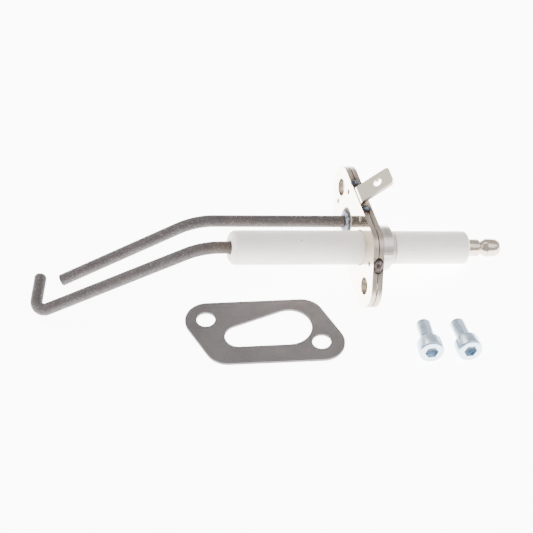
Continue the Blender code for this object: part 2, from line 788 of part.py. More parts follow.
def give_materials():
    for name, (colour, roughness, metallic, pieces) in MATERIALS.items():
        made = material(name, colour, roughness, metallic)
        for piece in pieces:
            bpy.data.objects[piece].data.materials.append(made)


def build():
    kit = empty("kit")
    electrode = empty("electrode", kit)
    build_insulator(electrode)
    build_cement(electrode, "front_cement", -FRONT_LENGTH + FRONT_LIP + GAP,
                 FRONT_CEMENT_LENGTH, FRONT_BORE, FRONT_CEMENT_OUTER)
    build_cement(electrode, "rear_cement", REAR_LENGTH - REAR_CEMENT_LENGTH,
                 REAR_CEMENT_LENGTH, REAR_BORE, REAR_CEMENT_OUTER)
    build_core_pin(electrode)
    build_terminal(electrode)
    build_collar(electrode)
    build_packing_ring(electrode)
    build_ignition_rod(electrode)
    build_earth_rod(electrode)
    build_earth_rod_weld(electrode)
    build_front_plate(electrode)
    build_rear_plate(electrode)
    build_edge_welds(electrode)
    build_gasket(kit)
    for name, place in SCREW_PLACES.items():
        build_screw(kit, name, place)
    give_materials()
    electrode.rotation_euler = (ELECTRODE_ROLL, ELECTRODE_PITCH, ELECTRODE_YAW)
    electrode.location = (*ELECTRODE_PLACE, 0)
    electrode.location.z = -low_and_high(solids(electrode))[0].z
    low, high = low_and_high(solids())
    kit.location = (-(low.x + high.x) / 2, -(low.y + high.y) / 2, -low.z)


build()
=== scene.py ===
"""Looks for the ignition electrode kit: the electrode lying on a table, its gasket, two screws.

Metres, +Z up. The electrode's own axes are those of its maker: X along the insulator towards
the terminal, Y towards the far bolt hole, and the flange's front face is the plane X = 0.
"""

import json
from math import cos, pi, radians, sin, tan

import bmesh
import bpy
from mathutils import Euler, Matrix, Vector, noise

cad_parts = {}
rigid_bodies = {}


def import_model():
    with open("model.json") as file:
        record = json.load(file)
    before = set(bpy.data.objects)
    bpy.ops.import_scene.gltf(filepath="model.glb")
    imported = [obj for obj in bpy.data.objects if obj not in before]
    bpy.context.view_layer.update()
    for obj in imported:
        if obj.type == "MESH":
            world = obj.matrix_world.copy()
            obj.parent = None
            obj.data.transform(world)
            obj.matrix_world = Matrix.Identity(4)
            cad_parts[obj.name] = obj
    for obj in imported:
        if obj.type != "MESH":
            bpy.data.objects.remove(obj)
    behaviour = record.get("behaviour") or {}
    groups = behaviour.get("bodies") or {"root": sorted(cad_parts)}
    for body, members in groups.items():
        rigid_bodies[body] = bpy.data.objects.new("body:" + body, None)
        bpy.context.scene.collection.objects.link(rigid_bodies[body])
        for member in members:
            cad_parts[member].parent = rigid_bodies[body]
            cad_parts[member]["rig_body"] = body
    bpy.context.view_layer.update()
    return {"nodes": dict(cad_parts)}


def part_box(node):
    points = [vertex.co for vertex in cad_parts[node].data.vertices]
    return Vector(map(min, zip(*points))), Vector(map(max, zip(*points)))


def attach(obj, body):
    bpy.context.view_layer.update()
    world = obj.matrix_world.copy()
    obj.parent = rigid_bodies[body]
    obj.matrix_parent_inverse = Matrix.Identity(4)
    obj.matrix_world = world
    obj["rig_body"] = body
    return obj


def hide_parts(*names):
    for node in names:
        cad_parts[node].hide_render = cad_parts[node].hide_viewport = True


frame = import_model()
NODES = frame["nodes"]
MM = 0.001

# Where the electrode lies on the table
ELECTRODE_TURN = (radians(10.3), radians(14.1), radians(12.8))
ELECTRODE_PLACE = (30.895 * MM, 2.188 * MM, 14.879 * MM)
ELECTRODE = Matrix.Translation(ELECTRODE_PLACE) @ Euler(ELECTRODE_TURN).to_matrix().to_4x4()

# Rods, in the electrode's own axes
FRONT_LENGTH = 45.9 * MM
FLANGE_THICKNESS = 3.8 * MM
ROD_DEPTH_IN_INSULATOR = 25.0 * MM
IGNITION_ROD_RADIUS = 2.08 * MM
EARTH_ROD_RADIUS = 2.0 * MM
EARTH_ROD_PLACE = (14.4 * MM, -6.0 * MM)
BEND_RADIUS = 18.0 * MM
IGNITION_BEND_FROM_CERAMIC = 9.5 * MM
IGNITION_FALL = radians(38.4)
IGNITION_TURN = radians(2.4)
IGNITION_REACH = 62.34 * MM
IGNITION_TIP_ROUNDING = 1.5 * MM
HOOK_BEND_RADIUS = 3.6 * MM
HOOK_LENGTH = 14.6 * MM
HOOK_ANGLE = radians(71.5)
EARTH_ROD_BEND_AT = 53.8 * MM
EARTH_ROD_FALL = radians(39.7)
EARTH_ROD_TURN = radians(5.0)
EARTH_ROD_REACH = 51.1 * MM
EARTH_ROD_SHORT_OF_BACK = 0.4 * MM
EARTH_ROD_TIP_ROUNDING = 0.2 * MM
EARTH_ROD_ROOT = ELECTRODE @ Vector((0, *EARTH_ROD_PLACE))

# Welds: the spots on the flange's edge, and the earth rod's bead
WELDS = ["edge_weld_far", "edge_weld_middle", "edge_weld_near"]
BEAD_RADIUS = 0.95 * MM
BEAD_FLATTENING = 0.62
BEAD_FROM_ROD = 0.65 * MM
BEAD_BEFORE_FLANGE = 0.45 * MM

# Terminal: where its tip is, and its outline in mm from the tip, with its radii in mm
TERMINAL_TIP = 50.96 * MM
TERMINAL_OUTLINE = [
    (0, 0), (0.05, 1.2), (0.3, 2.05), (0.9, 2.65), (1.8, 2.98), (3.0, 3.1), (5.3, 3.1),
    (6.8, 2.25), (7.5, 2.2), (7.9, 2.7), (8.2, 2.95), (12.4, 2.95), (12.6, 2.7), (12.6, 0),
]

# Cap screws, M5: where the underside of each head is, which way its axis points, and how
# many degrees its socket is turned
SCREWS = {
    "screw_left": ((53.28 * MM, -30.45 * MM, 4.18 * MM), (0.1436, -0.9723, 0.1843), 32),
    "screw_right": ((65.57 * MM, -29.95 * MM, 4.18 * MM), (0.2444, -0.9520, 0.1843), 22),
}
SCREW_RADIUS = 2.4 * MM
SCREW_LENGTH = 10.0 * MM
SCREW_HEAD_RADIUS = 4.22 * MM
SCREW_HEAD_HEIGHT = 5.0 * MM
THREAD_PITCH = 0.8 * MM
THREAD_DEPTH = 0.4 * MM
SOCKET_ACROSS_FLATS = 4.0 * MM
SOCKET_DEPTH = 2.6 * MM
DRILL_POINT = 0.6 * MM

# The rounding of a screw's head: how far in from its side, and how far below its top
HEAD_ROUNDING = [
    (0.92 * MM, 0), (0.60 * MM, 0.03 * MM), (0.30 * MM, 0.16 * MM), (0.11 * MM, 0.4 * MM),
    (0, 0.75 * MM),
]
HEAD_CHAMFER = 0.25 * MM

# Punched pips on the flange's front face, in its own Y and Z, each with its half height
PIPS = [
    (21.7 * MM, 1.2 * MM, 0.8 * MM),
    (24.6 * MM, -8.6 * MM, 1.2 * MM),
    (8.0 * MM, 5.6 * MM, 0.85 * MM),
    (-9.3 * MM, 4.4 * MM, 0.9 * MM),
]
PIP_PROUD = 0.36 * MM
PIP_HALF_WIDTH = 0.6 * MM

# Rounding of the sheets' cut edges
FRONT_PLATE_ROUNDING = 0.18 * MM
REAR_PLATE_ROUNDING = 0.22 * MM
GASKET_ROUNDING = 0.06 * MM

CAMERA_TARGET = (-0.405 * MM, 6.688 * MM, 0)
CAMERA_AWAY = 853.2 * MM
CAMERA_HEIGHT = radians(49)
CAMERA_LENS = 168.86


# ---------------------------------------------------------------- helpers


def linear(hex_colour):
    """An sRGB hex colour as the linear colour that nodes take."""
    parts = [int(hex_colour[i:i + 2], 16) / 255 for i in (1, 3, 5)]
    return (*[p / 12.92 if p < 0.04045 else ((p + 0.055) / 1.055) ** 2.4 for p in parts], 1)


def add(tree, kind, sockets=None, **settings):
    """Adds a node with its settings, and its sockets' values or links."""
    node = tree.nodes.new(kind)
    for key, value in settings.items():
        setattr(node, key, value)
    for key, value in (sockets or {}).items():
        if isinstance(value, bpy.types.NodeSocket):
            tree.links.new(value, node.inputs[key])
        else:
            node.inputs[key].default_value = value
    return node


def new_material(name, **sockets):
    """A material with its node tree and its shader, whose sockets take plain values."""
    made = bpy.data.materials.new(name)
    made.use_nodes = True
    shader = made.node_tree.nodes["Principled BSDF"]
    for key, value in sockets.items():
        shader.inputs[key.replace("_", " ")].default_value = value
    return made, made.node_tree, shader


def finish_piece(name, shape, material, body, replaced=(), sharp=35):
    """Makes a piece from a bmesh, with its faces outwards, on its body."""
    bmesh.ops.recalc_face_normals(shape, faces=shape.faces)
    mesh = bpy.data.meshes.new(name)
    shape.to_mesh(mesh)
    shape.free()
    mesh.shade_smooth()
    mesh.set_sharp_from_angle(angle=radians(sharp))
    mesh.materials.append(material)
    piece = bpy.data.objects.new(name, mesh)
    bpy.context.scene.collection.objects.link(piece)
    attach(piece, body)
    if replaced:
        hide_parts(*replaced)
    return piece


def middle(node):
    """The middle of a CAD node's box."""
    low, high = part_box(node)
    return (low + high) / 2


def nearest(tree, points):
    """The distance from the surface to the nearest of some places."""
    where = add(tree, "ShaderNodeTexCoord").outputs["Object"]
    least = None
    for point in points:
        gap = add(tree, "ShaderNodeVectorMath", {0: where, 1: point}, operation="DISTANCE")
        value = gap.outputs["Value"]
        if least:
            value = add(tree, "ShaderNodeMath", {0: least, 1: value},
                        operation="MINIMUM").outputs[0]
        least = value
    return least


def own_axes(tree):
    """The surface's place in the electrode's own axes."""
    where = add(tree, "ShaderNodeTexCoord").outputs["Object"]
    return add(tree, "ShaderNodeMapping", {
        "Vector": where, "Location": ELECTRODE_PLACE, "Rotation": ELECTRODE_TURN,
    }, vector_type="TEXTURE").outputs[0]


# ---------------------------------------------------------------- materials


def alumina():
    """Fired alumina, matt and faintly grained, off-white, with the odd dark speck."""
    made, tree, shader = new_material("alumina fired matt", Roughness=0.5, Subsurface_Weight=0.08,
                                      Subsurface_Scale=0.5 * MM, Specular_IOR_Level=0.35)
    where = own_axes(tree)
    cloud = add(tree, "ShaderNodeTexNoise", {"Vector": where, "Scale": 120, "Detail": 5})
    tone = add(tree, "ShaderNodeMix", {
        "Factor": cloud.outputs[0], "A": linear("#d5cfc9"), "B": linear("#e6e0da"),
    }, data_type="RGBA")
    cells = add(tree, "ShaderNodeTexVoronoi", {"Vector": where, "Scale": 130})
    speck = add(tree, "ShaderNodeMapRange", {
        "Value": cells.outputs["Distance"], "From Min": 0.030, "From Max": 0.045,
        "To Min": 0.75, "To Max": 0.0,
    })
    spotted = add(tree, "ShaderNodeMix", {
        "Factor": speck.outputs[0], "A": tone.outputs["Result"], "B": linear("#5c544d"),
    }, data_type="RGBA")
    grain = add(tree, "ShaderNodeTexNoise", {"Vector": where, "Scale": 2500, "Detail": 3})
    bump = add(tree, "ShaderNodeBump", {
        "Height": grain.outputs[0], "Strength": 0.2, "Distance": 0.02 * MM,
    })
    tree.links.new(spotted.outputs["Result"], shader.inputs["Base Color"])
    tree.links.new(bump.outputs[0], shader.inputs["Normal"])
    return made


def cement():
    """Refractory cement in the insulator's ends, rough and sandy."""
    made, tree, shader = new_material("refractory cement rough", Roughness=0.9)
    where = own_axes(tree)
    sand = add(tree, "ShaderNodeTexNoise", {"Vector": where, "Scale": 1800, "Detail": 4})
    tone = add(tree, "ShaderNodeMix", {
        "Factor": sand.outputs[0], "A": linear("#8d8478"), "B": linear("#c2b8a8"),
    }, data_type="RGBA")
    bump = add(tree, "ShaderNodeBump", {
        "Height": sand.outputs[0], "Strength": 0.6, "Distance": 0.1 * MM,
    })
    tree.links.new(tone.outputs["Result"], shader.inputs["Base Color"])
    tree.links.new(bump.outputs[0], shader.inputs["Normal"])
    return made


def oxidised_wire():
    """Heat-resistant wire, drawn and then oxidised: dull grey-brown with darker clouds and
    pale flecks of scale, and a browner stretch where it enters the ceramic."""
    made, tree, shader = new_material("heat-resistant wire oxidised", Metallic=0.3)
    where = own_axes(tree)
    cloud = add(tree, "ShaderNodeTexNoise", {
        "Vector": where, "Scale": 230, "Detail": 6, "Roughness": 0.65,
    })
    tone = add(tree, "ShaderNodeMix", {
        "Factor": cloud.outputs[0], "A": linear("#2e2a2a"), "B": linear("#565050"),
    }, data_type="RGBA")
    stretch = add(tree, "ShaderNodeMapping", {"Vector": where, "Scale": (0.12, 1, 1)})
    lines = add(tree, "ShaderNodeTexNoise", {
        "Vector": stretch.outputs[0], "Scale": 1500, "Detail": 3,
    })
    brown = add(tree, "ShaderNodeMapRange", {
        "Value": nearest(tree, [ELECTRODE @ Vector((-FRONT_LENGTH, 0, 0))]),
        "From Min": 4 * MM, "From Max": 12 * MM, "To Min": 0.55, "To Max": 0.0,
    })
    warm = add(tree, "ShaderNodeMix", {
        "Factor": brown.outputs[0], "A": tone.outputs["Result"], "B": linear("#4d3f34"),
    }, data_type="RGBA")
    rough = add(tree, "ShaderNodeMapRange", {
        "Value": lines.outputs[0], "From Min": 0.3, "From Max": 0.7, "To Min": 0.6,
        "To Max": 0.78,
    })
    scale = add(tree, "ShaderNodeTexNoise", {"Vector": where, "Scale": 1900, "Detail": 2})
    flecks = add(tree, "ShaderNodeMapRange", {
        "Value": scale.outputs[0], "From Min": 0.56, "From Max": 0.72, "To Max": 0.4,
    })
    flecked = add(tree, "ShaderNodeMix", {
        "Factor": flecks.outputs[0], "A": warm.outputs["Result"], "B": linear("#8d8378"),
    }, data_type="RGBA")
    bump = add(tree, "ShaderNodeBump", {
        "Height": scale.outputs[0], "Strength": 0.3, "Distance": 0.05 * MM,
    })
    tree.links.new(flecked.outputs["Result"], shader.inputs["Base Color"])
    tree.links.new(rough.outputs[0], shader.inputs["Roughness"])
    tree.links.new(bump.outputs[0], shader.inputs["Normal"])
    return made


def weld_metal(name, stops, reach):
    """A weld spot: rings of heat tint around its middle, out to its reach."""
    made, tree, shader = new_material(name, Metallic=0.6, Roughness=0.5)
    away = nearest(tree, [middle(spot) for spot in WELDS])
    where = own_axes(tree)
    crust = add(tree, "ShaderNodeTexNoise", {"Vector": where, "Scale": 1400, "Detail": 4})
    ragged = add(tree, "ShaderNodeMath", {0: crust.outputs[0], 1: 0.9 * MM, 2: away},
                 operation="MULTIPLY_ADD")
    ramp = add(tree, "ShaderNodeValToRGB", {"Fac": add(tree, "ShaderNodeMapRange", {
        "Value": ragged.outputs[0], "From Min": 0.4 * MM, "From Max": 0.4 * MM + reach,
    }).outputs[0]})
    band = ramp.color_ramp.elements
    while len(band) < len(stops):
        band.new(0.5)
    for stop, (place, colour) in zip(band, stops):
        stop.position = place
        stop.color = linear(colour)
    bump = add(tree, "ShaderNodeBump", {
        "Height": crust.outputs[0], "Strength": 0.5, "Distance": 0.15 * MM,
    })
    tree.links.new(ramp.outputs[0], shader.inputs["Base Color"])
    tree.links.new(bump.outputs[0], shader.inputs["Normal"])
    return made


def fillet_weld_metal():
    """The earth rod's fillet weld: grey-blue, crusted and lumpy."""
    made, tree, shader = new_material("fillet weld crusted", Metallic=0.7, Roughness=0.5)
    where = own_axes(tree)
    crust = add(tree, "ShaderNodeTexNoise", {"Vector": where, "Scale": 900, "Detail": 5})
    tone = add(tree, "ShaderNodeMix", {
        "Factor": add(tree, "ShaderNodeMapRange", {
            "Value": crust.outputs[0], "From Min": 0.35, "From Max": 0.62,
        }).outputs[0],
        "A": linear("#434854"), "B": linear("#8b8f97"),
    }, data_type="RGBA")
    bump = add(tree, "ShaderNodeBump", {
        "Height": crust.outputs[0], "Strength": 0.7, "Distance": 0.2 * MM,
    })
    tree.links.new(tone.outputs["Result"], shader.inputs["Base Color"])
    tree.links.new(bump.outputs[0], shader.inputs["Normal"])
    return made


def plate_steel():
    """Bright rolled stainless sheet: polished, creamy faces, browned around the welds, and
    cut edges with fine grey drag lines. Near black is painted on the face as the earth rod's
    reflection around its root, and as shade in a ring round each pip."""
    made, tree, shader = new_material("stainless sheet bright rolled")
    where = own_axes(tree)
    cloud = add(tree, "ShaderNodeTexNoise", {"Vector": where, "Scale": 160, "Detail": 4})
    tone = add(tree, "ShaderNodeMix", {
        "Factor": cloud.outputs[0], "A": linear("#f0e4cd"), "B": linear("#fdf5e4"),
    }, data_type="RGBA")
    facing = add(tree, "ShaderNodeVectorMath", {
        0: add(tree, "ShaderNodeNewGeometry").outputs["True Normal"],
        1: tuple(ELECTRODE.to_3x3() @ Vector((1, 0, 0))),
    }, operation="DOT_PRODUCT")
    steep = add(tree, "ShaderNodeMath", {0: facing.outputs["Value"]}, operation="ABSOLUTE")
    edge = add(tree, "ShaderNodeMapRange", {
        "Value": steep.outputs[0], "From Min": 0.15, "From Max": 0.6, "To Min": 1.0,
        "To Max": 0.0,
    })
    drag = add(tree, "ShaderNodeMapping", {"Vector": where, "Scale": (1, 0.12, 0.12)})
    lines = add(tree, "ShaderNodeTexNoise", {
        "Vector": drag.outputs[0], "Scale": 2200, "Detail": 4,
    })
    cut_tone = add(tree, "ShaderNodeMix", {
        "Factor": lines.outputs[0], "A": linear("#6f655c"), "B": linear("#c4b7a9"),
    }, data_type="RGBA")
    body = add(tree, "ShaderNodeMix", {
        "Factor": edge.outputs[0], "A": tone.outputs["Result"], "B": cut_tone.outputs["Result"],
    }, data_type="RGBA")
    burn = add(tree, "ShaderNodeMath", {
        0: cloud.outputs[0], 1: 2.2 * MM, 2: nearest(tree, [middle(name) for name in WELDS]),
    }, operation="MULTIPLY_ADD")
    tint = add(tree, "ShaderNodeMapRange", {
        "Value": burn.outputs[0], "From Min": 2.2 * MM, "From Max": 5.0 * MM, "To Min": 0.85,
        "To Max": 0.0,
    })
    browned = add(tree, "ShaderNodeMix", {
        "Factor": add(tree, "ShaderNodeMath", {0: tint.outputs[0], 1: edge.outputs[0]},
                      operation="MULTIPLY").outputs[0],
        "A": body.outputs["Result"], "B": linear("#5f4f45"),
    }, data_type="RGBA")
    # Painted reflection: the face is painted near black around the earth rod's root, standing in
    # for the rod's reflection in the polished sheet
    rod_reflection_paint = add(tree, "ShaderNodeMapRange", {
        "Value": add(tree, "ShaderNodeMath", {
            0: cloud.outputs[0], 1: 1.2 * MM, 2: nearest(tree, [EARTH_ROD_ROOT]),
        }, operation="MULTIPLY_ADD").outputs[0],
        "From Min": 5.1 * MM, "From Max": 5.8 * MM, "To Min": 0.92, "To Max": 0.0,
    })
    # Painted shade: a dark ring on the face round each pip, standing in for the shade on its rim
    pip_shade_paint = add(tree, "ShaderNodeMapRange", {
        "Value": nearest(tree, [ELECTRODE @ Vector((0, y, z)) for y, z, _ in PIPS]),
        "From Min": 0.75 * MM, "From Max": 1.1 * MM, "To Min": 0.75, "To Max": 0.0,
    })
    # Painted reflection and painted shade together: where they lie, the face is mixed to near
    # black and made less metallic and rougher
    dull = add(tree, "ShaderNodeMath", {0: rod_reflection_paint.outputs[0], 1: pip_shade_paint.outputs[0]},
               operation="MAXIMUM")
    with_painted_dark = add(tree, "ShaderNodeMix", {
        "Factor": dull.outputs[0], "A": browned.outputs["Result"], "B": linear("#241d1a"),
    }, data_type="RGBA")
    metal = add(tree, "ShaderNodeMath", {0: 1.0, 1: dull.outputs[0]}, operation="SUBTRACT")
    polish = add(tree, "ShaderNodeMapRange", {
        "Value": edge.outputs[0], "To Min": 0.09, "To Max": 0.36,
    })
    rough = add(tree, "ShaderNodeMath", {0: polish.outputs[0], 1: dull.outputs[0]},
                operation="MAXIMUM")
    tree.links.new(metal.outputs[0], shader.inputs["Metallic"])
    bump = add(tree, "ShaderNodeBump", {
        "Height": lines.outputs[0], "Strength": 0.12, "Distance": 0.02 * MM,
    })
    tree.links.new(with_painted_dark.outputs["Result"], shader.inputs["Base Color"])
    tree.links.new(rough.outputs[0], shader.inputs["Roughness"])
    tree.links.new(bump.outputs[0], shader.inputs["Normal"])
    return made


def turned_metal(name, dark, light, roughness, turning):
    """Bright metal with faint lathe rings around the insulator's axis."""
    made, tree, shader = new_material(name, Metallic=1.0)
    where = own_axes(tree)
    squashed = add(tree, "ShaderNodeMapping", {"Vector": where, "Scale": (1, 0.03, 0.03)})
    rings = add(tree, "ShaderNodeTexNoise", {
        "Vector": squashed.outputs[0], "Scale": turning, "Detail": 3,
    })
    tone = add(tree, "ShaderNodeMix", {
        "Factor": rings.outputs[0], "A": linear(dark), "B": linear(light),
    }, data_type="RGBA")
    rough = add(tree, "ShaderNodeMapRange", {
        "Value": rings.outputs[0], "To Min": roughness - 0.06, "To Max": roughness + 0.1,
    })
    bump = add(tree, "ShaderNodeBump", {
        "Height": rings.outputs[0], "Strength": 0.15, "Distance": 0.03 * MM,
    })
    tree.links.new(tone.outputs["Result"], shader.inputs["Base Color"])
    tree.links.new(rough.outputs[0], shader.inputs["Roughness"])
    tree.links.new(bump.outputs[0], shader.inputs["Normal"])
    return made


def graphite():
    """Pressed graphite packing: near black, faintly shiny flakes."""
    made, tree, shader = new_material("graphite packing pressed", Roughness=0.6)
    flakes = add(tree, "ShaderNodeTexNoise", {"Vector": own_axes(tree), "Scale": 3000})
    tone = add(tree, "ShaderNodeMix", {
        "Factor": flakes.outputs[0], "A": linear("#1c1c1e"), "B": linear("#48484c"),
    }, data_type="RGBA")
    tree.links.new(tone.outputs["Result"], shader.inputs["Base Color"])
    return made


def gasket_sheet():
    """Compressed fibre sheet with graphite: flat grey, with a fine fleck of 0.4 mm."""
    made, tree, shader = new_material("fibre gasket sheet compressed", Roughness=0.62)
    where = add(tree, "ShaderNodeTexCoord").outputs["Object"]
    fleck = add(tree, "ShaderNodeTexNoise", {"Vector": where, "Scale": 2400, "Detail": 3})
    cloud = add(tree, "ShaderNodeTexNoise", {"Vector": where, "Scale": 70, "Detail": 3})
    fine = add(tree, "ShaderNodeMix", {
        "Factor": fleck.outputs[0], "A": linear("#3d3a3a"), "B": linear("#595454"),
    }, data_type="RGBA")
    tone = add(tree, "ShaderNodeMix", {
        "Factor": add(tree, "ShaderNodeMapRange", {
            "Value": cloud.outputs[0], "From Min": 0.35, "From Max": 0.65, "To Max": 0.5,
        }).outputs[0],
        "A": fine.outputs["Result"], "B": linear("#605b5a"),
    }, data_type="RGBA")
    bump = add(tree, "ShaderNodeBump", {
        "Height": fleck.outputs[0], "Strength": 0.25, "Distance": 0.04 * MM,
    })
    tree.links.new(tone.outputs["Result"], shader.inputs["Base Color"])
    tree.links.new(bump.outputs[0], shader.inputs["Normal"])
    return made


def zinc():
    """Blue-white zinc plating on the screws: satin, with pale clouds."""
    made, tree, shader = new_material("zinc plating blue-white", Metallic=0.9)
    where = add(tree, "ShaderNodeTexCoord").outputs["Object"]
    cloud = add(tree, "ShaderNodeTexNoise", {"Vector": where, "Scale": 420, "Detail": 4})
    tone = add(tree, "ShaderNodeMix", {
        "Factor": cloud.outputs[0], "A": linear("#8a9eb3"), "B": linear("#c6d4df"),
    }, data_type="RGBA")
    rough = add(tree, "ShaderNodeMapRange", {
        "Value": cloud.outputs[0], "From Min": 0.3, "From Max": 0.7, "To Min": 0.22,
        "To Max": 0.4,
    })
    tree.links.new(tone.outputs["Result"], shader.inputs["Base Color"])
    tree.links.new(rough.outputs[0], shader.inputs["Roughness"])
    return made


ALUMINA = alumina()
CEMENT = cement()
WIRE = oxidised_wire()
BLUE_WELD = weld_metal("weld spot blued", [
    (0.0, "#4f627b"), (0.22, "#5c6f88"), (0.4, "#3a383d"), (0.62, "#231d1b"), (1.0, "#4a3c34"),
], 2.3 * MM)
BROWN_WELD = weld_metal("weld spot browned", [
    (0.0, "#2a1f1b"), (0.3, "#3a2c26"), (0.42, "#5f5855"), (0.56, "#544d4b"), (0.72, "#221a18"),
], 2.9 * MM)
FILLET = fillet_weld_metal()
PLATE = plate_steel()
COLLAR = turned_metal("stainless sheet deep-drawn satin", "#97928b", "#cdc9c2", 0.28, 900)
NICKEL = turned_metal("nickel plating turned", "#8d8073", "#d3c6b7", 0.18, 2000)
PIN = turned_metal("steel pin drawn", "#8a8a8a", "#b0b0b0", 0.35, 1500)
GRAPHITE = graphite()
GASKET = gasket_sheet()
ZINC = zinc()


# ---------------------------------------------------------------- rods


def rotate_ring(shape, edges, centre, axis, angle, steps):
    """Bends the rod's open end around an axis, and gives the new end's edges."""
    made = bmesh.ops.spin(shape, geom=edges, cent=centre, axis=axis, angle=angle, steps=steps,
                          use_duplicate=False)["geom_last"]
    return [item for item in made if isinstance(item, bmesh.types.BMEdge)]


def push_ring(shape, edges, way):
    """Draws the rod's open end straight on, and gives the new end's edges."""
    made = bmesh.ops.extrude_edge_only(shape, edges=edges)["geom"]
    ring = [item for item in made if isinstance(item, bmesh.types.BMVert)]
    bmesh.ops.translate(shape, verts=ring, vec=way)
    return [item for item in made if isinstance(item, bmesh.types.BMEdge)
            and all(vert in ring for vert in item.verts)]


def bent_rod(name, corners, bends, radius, tip, material, replaced):
    """A round rod through corner points, bent to a radius at each inner one, with rounded
    ends: the first by an eighth of its radius, the last by the tip's rounding."""
    shape = bmesh.new()
    places = [Vector(corner) for corner in corners]
    ahead = (places[1] - places[0]).normalized()
    turn = Matrix.Translation(places[0]) @ ahead.to_track_quat("Z", "Y").to_matrix().to_4x4()
    bmesh.ops.create_circle(shape, segments=48, radius=radius, matrix=turn)
    first = list(shape.edges)
    edges = first
    done = 0.0
    for before, corner, after, bend in zip(places, places[1:], places[2:], bends):
        ahead = (corner - before).normalized()
        onward = (after - corner).normalized()
        angle = ahead.angle(onward)
        shortened = bend * tan(angle / 2)
        edges = push_ring(shape, edges, ahead * ((corner - before).length - done - shortened))
        axis = ahead.cross(onward).normalized()
        centre = corner - ahead * shortened + axis.cross(ahead) * bend
        edges = rotate_ring(shape, edges, centre, axis, angle, 24)
        done = shortened
    ahead = (places[-1] - places[-2]).normalized()
    last = push_ring(shape, edges, ahead * ((places[-1] - places[-2]).length - done))
    for ends, rounding in ((first, radius / 8), (last, tip)):
        face = bmesh.ops.edgeloop_fill(shape, edges=ends)["faces"][0]
        bmesh.ops.bevel(shape, geom=list(face.edges), offset=rounding, segments=6, profile=0.5,
                        affect="EDGES", material=-1)
    bmesh.ops.transform(shape, matrix=ELECTRODE, verts=shape.verts)
    finish_piece(name, shape, material, "electrode", [replaced])


def falling(bend, turn):
    """The direction of a rod after its bend downwards, turned a little aside."""
    return Vector((-cos(bend), -sin(bend) * sin(turn), -sin(bend) * cos(turn)))


def build_rods():
    fall = falling(IGNITION_FALL, IGNITION_TURN)
    bend = Vector((-FRONT_LENGTH - IGNITION_BEND_FROM_CERAMIC, 0, 0))
    corner = bend + fall * IGNITION_REACH
    hook = Vector((0, sin(HOOK_ANGLE), 0)) - fall * cos(HOOK_ANGLE)
    start = Vector((-FRONT_LENGTH + ROD_DEPTH_IN_INSULATOR, 0, 0))
    bent_rod("ignition_rod_drawn", [start, bend, corner, corner + hook * HOOK_LENGTH],
             [BEND_RADIUS, HOOK_BEND_RADIUS], IGNITION_ROD_RADIUS,
             IGNITION_TIP_ROUNDING, WIRE, "ignition_rod")
    fall = falling(EARTH_ROD_FALL, EARTH_ROD_TURN)
    bend = Vector((-EARTH_ROD_BEND_AT, *EARTH_ROD_PLACE))
    start = Vector((FLANGE_THICKNESS - EARTH_ROD_SHORT_OF_BACK, *EARTH_ROD_PLACE))
    bent_rod("earth_rod_drawn", [start, bend, bend + fall * EARTH_ROD_REACH], [BEND_RADIUS],
             EARTH_ROD_RADIUS, EARTH_ROD_TIP_ROUNDING, WIRE, "earth_rod")


# ---------------------------------------------------------------- terminal


def build_terminal():
    """The turned plug: a base, a neck, a cone up to the head's ring, and a domed end."""
    shape = bmesh.new()
    verts = [shape.verts.new((TERMINAL_TIP - back * MM, 0, r * MM))
             for back, r in TERMINAL_OUTLINE]
    edges = [shape.edges.new(pair) for pair in zip(verts, verts[1:])]
    bmesh.ops.bevel(shape, geom=verts[1:-1], offset=0.08 * MM, segments=2, profile=0.5,
                    affect="VERTICES", material=-1)
    bmesh.ops.spin(shape, geom=shape.verts[:] + shape.edges[:], cent=(0, 0, 0),
                   axis=(1, 0, 0), angle=2 * pi, steps=64, use_merge=True,
                   use_duplicate=False)
    bmesh.ops.remove_doubles(shape, verts=shape.verts, dist=0.002 * MM)
    bmesh.ops.transform(shape, matrix=ELECTRODE, verts=shape.verts)
    finish_piece("terminal_turned", shape, NICKEL, "electrode", ["terminal"], 30)


# ---------------------------------------------------------------- welds


def roughen(shape, amount, lump):
    """Pushes each point along its normal by smooth random lumps."""
    shape.normal_update()
    for vert in shape.verts:
        vert.co += vert.normal * amount * noise.noise(vert.co / lump)


def build_fillet_weld():
    """The lumpy bead between the earth rod and the front plate."""
    shape = bmesh.new()
    turn = Matrix.Translation((0, EARTH_ROD_RADIUS + BEAD_FROM_ROD, 0)) @ Matrix.Scale(
        BEAD_FLATTENING, 4, (1, 0, 0))
    bmesh.ops.create_circle(shape, segments=16, radius=BEAD_RADIUS, matrix=turn)
    bmesh.ops.spin(shape, geom=shape.verts[:] + shape.edges[:], cent=(0, 0, 0), axis=(1, 0, 0),
                   angle=2 * pi, steps=64, use_merge=True, use_duplicate=False)
    bmesh.ops.recalc_face_normals(shape, faces=shape.faces)
    roughen(shape, 0.4 * MM, 1.1 * MM)
    roughen(shape, 0.2 * MM, 0.5 * MM)
    place = Matrix.Translation((-BEAD_BEFORE_FLANGE, *EARTH_ROD_PLACE))
    bmesh.ops.transform(shape, matrix=ELECTRODE @ place, verts=shape.verts)
    finish_piece("earth_rod_fillet", shape, FILLET, "electrode", ["earth_rod_weld"], 80)


def build_edge_welds():
    """Flat fused spots over the joint of the two plates, each a little irregular."""
    for node in WELDS:
        shape = bmesh.new()
        shape.from_mesh(NODES[node].data)
        bmesh.ops.remove_doubles(shape, verts=shape.verts, dist=0.001 * MM)
        bmesh.ops.subdivide_edges(shape, edges=shape.edges, cuts=2, use_grid_fill=True)
        for _ in range(3):
            bmesh.ops.smooth_vert(shape, verts=shape.verts, factor=0.5, use_axis_x=True,
                                  use_axis_y=True, use_axis_z=True)
        roughen(shape, 0.3 * MM, 0.9 * MM)
        metal = BROWN_WELD if node == "edge_weld_near" else BLUE_WELD
        finish_piece(f"{node}_fused", shape, metal, "electrode", [node], 80)


# ---------------------------------------------------------------- sheet metal


